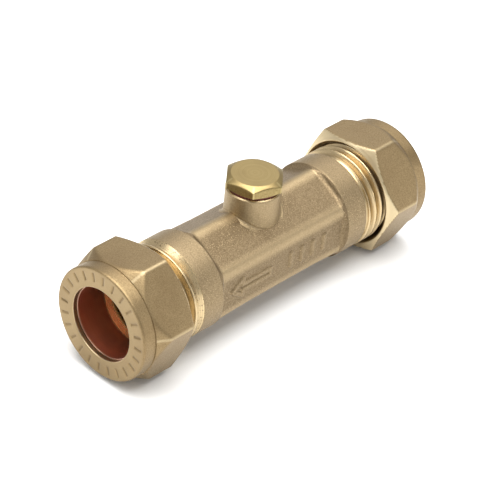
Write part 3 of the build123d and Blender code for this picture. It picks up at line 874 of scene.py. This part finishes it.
for stage, start in (
    ("upstream", middle - cartridge_shoulder - cartridge_length),
    ("downstream", middle + cartridge_shoulder),
):
    housing = skin(f"{stage}_check_housing", about_cartridge(start, housing_profile))
    finish_piece(housing, acetal, f"{stage}_housing", "body")
    o_ring = skin(f"{stage}_housing_o_ring", about_cartridge(start, o_ring_profile))
    finish_piece(o_ring, seal_rubber, f"{stage}_housing_seal", "body")
    poppet = skin(f"{stage}_check_poppet", about_cartridge(start, poppet_profile), closed_along=False)
    finish_piece(poppet, poppet_acetal, f"{stage}_poppet", f"{stage}_poppet")
    face_seal = skin(f"{stage}_face_seal", about_cartridge(start, face_seal_profile))
    finish_piece(face_seal, seal_rubber, f"{stage}_poppet_seal", f"{stage}_poppet")

    coil_points = np.stack([
        start + coil_along, coil_reach * np.sin(wire_angle)[:, None],
        coil_reach * np.cos(wire_angle)[:, None],
    ], axis=-1)
    spring = skin(f"{stage}_return_spring", coil_points, closed_along=False,
                  recess=0 * coil_reach, machined=0 * coil_reach)
    finish_piece(spring, drawn_steel, f"{stage}_spring", "body")
    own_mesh(spring)

    # The three-spoked guide is moulded in the same acetal. Its CAD shape is right as it is.
    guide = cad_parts[f"{stage}_stem_guide"]
    guide.data.materials.clear()
    guide.data.materials.append(acetal)

# ---- retaining rings ------------------------------------------------------------------------
# Internal circlips that hold the cartridges: stamped spring steel with two holed lugs. Their
# CAD shape is right as it is, so they only get the steel.
for side in ("outlet", "inlet"):
    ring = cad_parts[f"{side}_retaining_ring"]
    ring.data.materials.clear()
    ring.data.materials.append(drawn_steel)

# ---- floor, light and camera --------------------------------------------------------------
# The valve lies on a plain pale floor under a large soft overhead light. A weaker key light
# stands past the outlet, one past the inlet, and a low one draws the bright band along the
# barrel's upper edge. The Standard transform shows brass and floor as bright as they are lit.
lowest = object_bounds()[0][2]
floor_half = 3.0
floor_mesh = bpy.data.meshes.new("pale_floor")
floor_mesh.from_pydata(
    [(x, y, lowest) for x, y in ((-floor_half, -floor_half), (floor_half, -floor_half),
                                 (floor_half, floor_half), (-floor_half, floor_half))],
    [], [(0, 1, 2, 3)],
)
floor = bpy.data.objects.new("pale_floor", floor_mesh)
bpy.context.scene.collection.objects.link(floor)
paper = bpy.data.materials.new("pale_paper")
paper.use_nodes = True
paper.node_tree.nodes["Principled BSDF"].inputs["Base Color"].default_value = linear("#f4f4f3")
paper.node_tree.nodes["Principled BSDF"].inputs["Roughness"].default_value = 0.9
floor_mesh.materials.append(paper)

world = bpy.data.worlds.new("studio")
bpy.context.scene.world = world
world.use_nodes = True
world.node_tree.nodes["Background"].inputs["Color"].default_value = linear("#ffffff")
world.node_tree.nodes["Background"].inputs["Strength"].default_value = 0.62
bpy.context.scene.view_settings.view_transform = "Standard"


def soft_light(name, place, size, power):
    """Square area light at a place in metres, turned to face the middle of the valve."""
    data = bpy.data.lights.new(name, "AREA")
    data.shape, data.size, data.energy = "SQUARE", size, power
    lamp = bpy.data.objects.new(name, data)
    lamp.location = place
    lamp.rotation_euler = (Vector(place) - Vector((middle * MM, 0, 0))).to_track_quat("Z", "Y").to_euler()
    bpy.context.scene.collection.objects.link(lamp)


soft_light("overhead", (0.02, 0.02, 0.50), 0.56, 5.0)
soft_light("key", (0.40, -0.18, 0.35), 0.22, 0.55)
soft_light("back", (-0.29, -0.26, 0.28), 0.30, 0.20)
soft_light("edge", (-0.30, 0.38, 0.09), 0.12, 0.24)

# The view: from above the outlet's end, 130 degrees round and 35.5 degrees up.
view_azimuth, view_elevation, view_roll = (math.radians(a) for a in (130.3, 35.5, 5.687))
towards = Vector((math.sin(view_azimuth) * math.cos(view_elevation),
                  -math.cos(view_azimuth) * math.cos(view_elevation), math.sin(view_elevation)))
level_right = Vector((0, 0, 1)).cross(towards).normalized()
level_up = towards.cross(level_right)
view_right = level_right * math.cos(view_roll) + level_up * math.sin(view_roll)
view_up = level_up * math.cos(view_roll) - level_right * math.sin(view_roll)
look_at = Vector((20.25, 0, 0))
shift_right, shift_up, camera_distance = -0.807, -1.771, 450.456
camera_place = (look_at + view_right * shift_right + view_up * shift_up
                + towards * camera_distance) * MM
camera_data = bpy.data.cameras.new("camera")
camera_data.sensor_width = 36.0
camera_data.lens = 162.758
camera_data.clip_start = 0.01
camera = bpy.data.objects.new("camera", camera_data)
camera.matrix_world = Matrix.Translation(camera_place) @ Matrix(
    (view_right, view_up, towards)).transposed().to_4x4()
bpy.context.scene.collection.objects.link(camera)
bpy.context.scene.camera = camera
